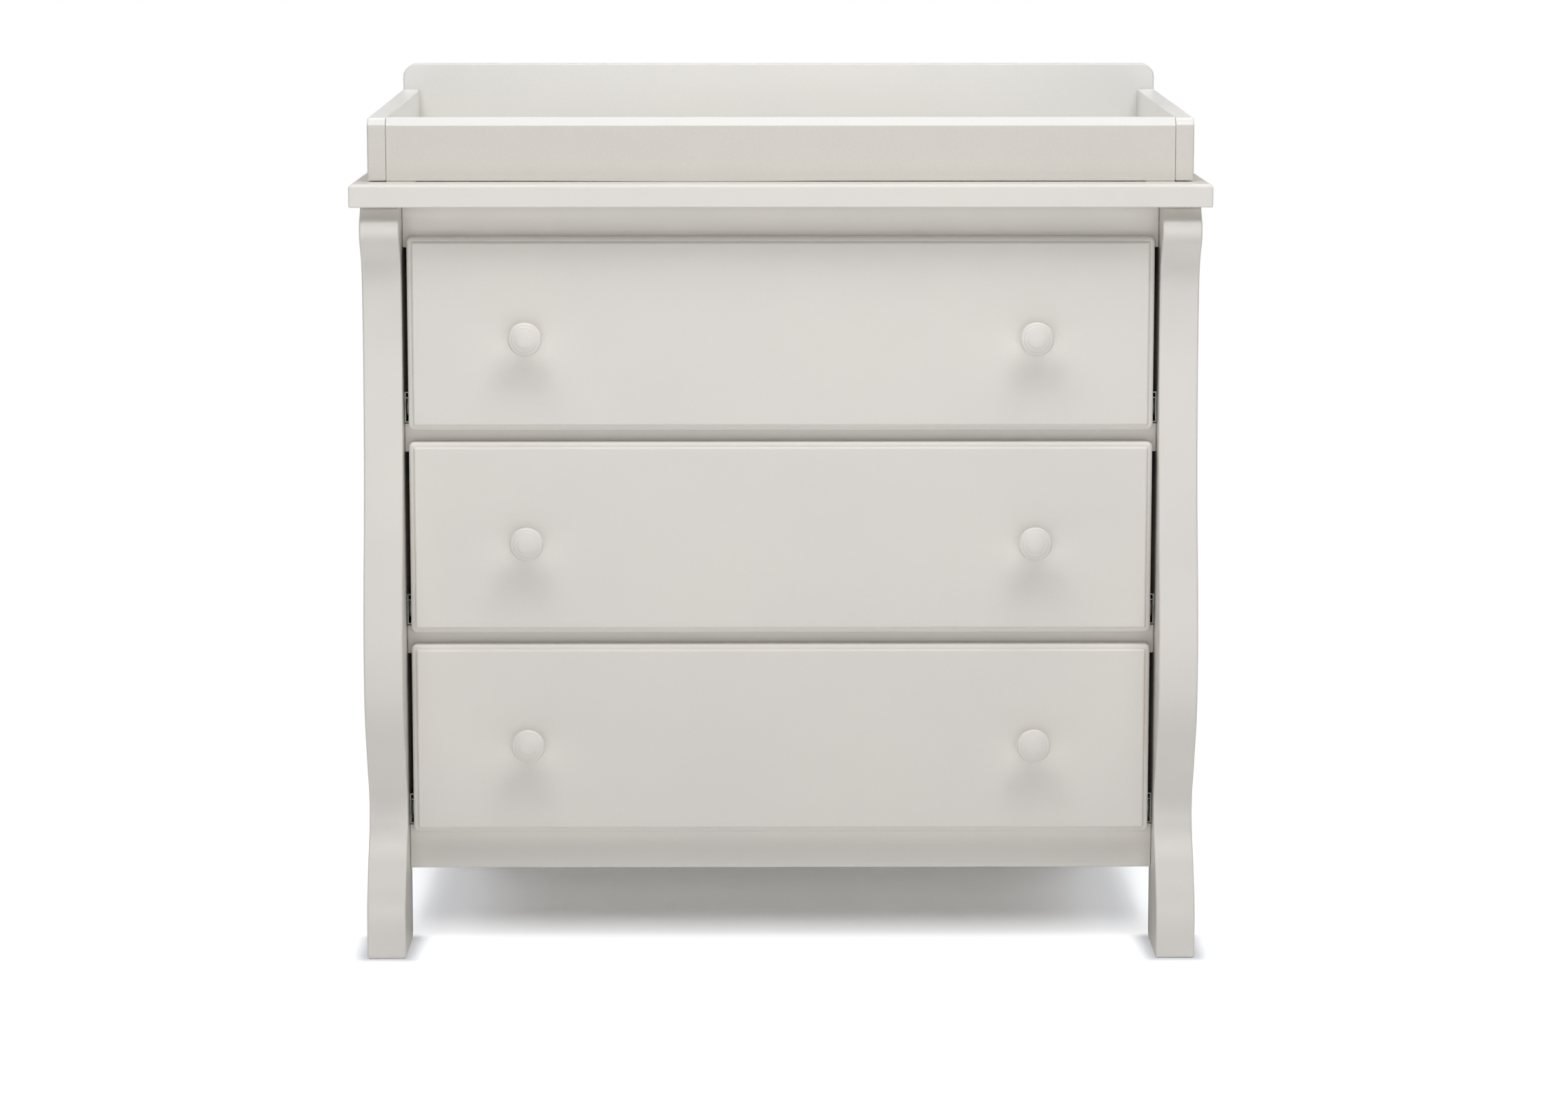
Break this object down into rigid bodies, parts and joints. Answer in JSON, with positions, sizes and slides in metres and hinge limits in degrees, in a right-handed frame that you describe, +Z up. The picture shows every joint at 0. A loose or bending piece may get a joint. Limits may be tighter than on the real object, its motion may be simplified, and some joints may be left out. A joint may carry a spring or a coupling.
{
  "type": "changing table",
  "caption": "Nursery dresser with S-curved front legs, overlay drawers with round knobs, and an open changing tray on its top board.",
  "frame": {"origin": "centre of the footprint, on the floor", "axes": "+X to the right of someone who faces the drawers, -Y towards them, +Z up"},
  "size_m": [0.908, 0.5611, 0.9341],
  "materials": {
    "white_paint": "satin white lacquer over wood",
    "pale_board": "matt pale board",
    "plated_steel": "grey coated sheet steel",
    "nylon": "moulded nylon"
  },
  "bodies": {
    "carcass": {"top_board": "white_paint", "left_front_post": "white_paint", "right_front_post": "white_paint", "left_rear_post": "white_paint", "right_rear_post": "white_paint", "left_side_panel": "white_paint", "right_side_panel": "white_paint", "bottom_front_rail": "white_paint", "lower_middle_rail": "white_paint", "upper_middle_rail": "white_paint", "top_front_rail": "white_paint", "bottom_rear_rail": "white_paint", "top_rear_rail": "white_paint", "back_panel": "pale_board", "changing_top_front": "white_paint", "changing_top_back": "white_paint", "changing_top_left": "white_paint", "changing_top_right": "white_paint", "left_joining_plate": "plated_steel", "right_joining_plate": "plated_steel", "bottom_cabinet_left_runner": "plated_steel", "bottom_cabinet_right_runner": "plated_steel", "middle_cabinet_left_runner": "plated_steel", "middle_cabinet_right_runner": "plated_steel", "top_cabinet_left_runner": "plated_steel", "top_cabinet_right_runner": "plated_steel"},
    "bottom_drawer": {"bottom_drawer_front": "white_paint", "bottom_drawer_left_side": "pale_board", "bottom_drawer_right_side": "pale_board", "bottom_drawer_back": "pale_board", "bottom_drawer_bottom": "pale_board", "bottom_drawer_left_knob": "white_paint", "bottom_drawer_right_knob": "white_paint", "bottom_drawer_left_runner": "plated_steel", "bottom_drawer_right_runner": "plated_steel"},
    "bottom_left_roller": {"bottom_left_roller": "nylon"},
    "bottom_right_roller": {"bottom_right_roller": "nylon"},
    "middle_drawer": {"middle_drawer_front": "white_paint", "middle_drawer_left_side": "pale_board", "middle_drawer_right_side": "pale_board", "middle_drawer_back": "pale_board", "middle_drawer_bottom": "pale_board", "middle_drawer_left_knob": "white_paint", "middle_drawer_right_knob": "white_paint", "middle_drawer_left_runner": "plated_steel", "middle_drawer_right_runner": "plated_steel"},
    "middle_left_roller": {"middle_left_roller": "nylon"},
    "middle_right_roller": {"middle_right_roller": "nylon"},
    "top_drawer": {"top_drawer_front": "white_paint", "top_drawer_left_side": "pale_board", "top_drawer_right_side": "pale_board", "top_drawer_back": "pale_board", "top_drawer_bottom": "pale_board", "top_drawer_left_knob": "white_paint", "top_drawer_right_knob": "white_paint", "top_drawer_left_runner": "plated_steel", "top_drawer_right_runner": "plated_steel"},
    "top_left_roller": {"top_left_roller": "nylon"},
    "top_right_roller": {"top_right_roller": "nylon"}
  },
  "joints": [
    {"name": "bottom_drawer_slide", "type": "slide", "parent": "carcass", "child": "bottom_drawer", "axis": [0, -1, 0], "range_m": [0, 0.3]},
    {"name": "bottom_left_roller_spin", "type": "hinge", "parent": "carcass", "child": "bottom_left_roller", "pos_m": [-0.39625, -0.18735, 0.1485], "axis": [1, 0, 0], "range_deg": [-5, 1725]},
    {"name": "bottom_right_roller_spin", "type": "hinge", "parent": "carcass", "child": "bottom_right_roller", "pos_m": [0.39625, -0.18735, 0.1485], "axis": [1, 0, 0], "range_deg": [-5, 1725]},
    {"name": "middle_drawer_slide", "type": "slide", "parent": "carcass", "child": "middle_drawer", "axis": [0, -1, 0], "range_m": [0, 0.3]},
    {"name": "middle_left_roller_spin", "type": "hinge", "parent": "carcass", "child": "middle_left_roller", "pos_m": [-0.39625, -0.18735, 0.3675], "axis": [1, 0, 0], "range_deg": [-5, 1725]},
    {"name": "middle_right_roller_spin", "type": "hinge", "parent": "carcass", "child": "middle_right_roller", "pos_m": [0.39625, -0.18735, 0.3675], "axis": [1, 0, 0], "range_deg": [-5, 1725]},
    {"name": "top_drawer_slide", "type": "slide", "parent": "carcass", "child": "top_drawer", "axis": [0, -1, 0], "range_m": [0, 0.3]},
    {"name": "top_left_roller_spin", "type": "hinge", "parent": "carcass", "child": "top_left_roller", "pos_m": [-0.39625, -0.18735, 0.5865], "axis": [1, 0, 0], "range_deg": [-5, 1725]},
    {"name": "top_right_roller_spin", "type": "hinge", "parent": "carcass", "child": "top_right_roller", "pos_m": [0.39625, -0.18735, 0.5865], "axis": [1, 0, 0], "range_deg": [-5, 1725]}
  ],
  "couplings": [
    {"joint": "bottom_left_roller_spin", "follows": "bottom_drawer_slide", "rad_per_m": 100},
    {"joint": "bottom_right_roller_spin", "follows": "bottom_drawer_slide", "rad_per_m": 100},
    {"joint": "middle_left_roller_spin", "follows": "middle_drawer_slide", "rad_per_m": 100},
    {"joint": "middle_right_roller_spin", "follows": "middle_drawer_slide", "rad_per_m": 100},
    {"joint": "top_left_roller_spin", "follows": "top_drawer_slide", "rad_per_m": 100},
    {"joint": "top_right_roller_spin", "follows": "top_drawer_slide", "rad_per_m": 100}
  ]
}
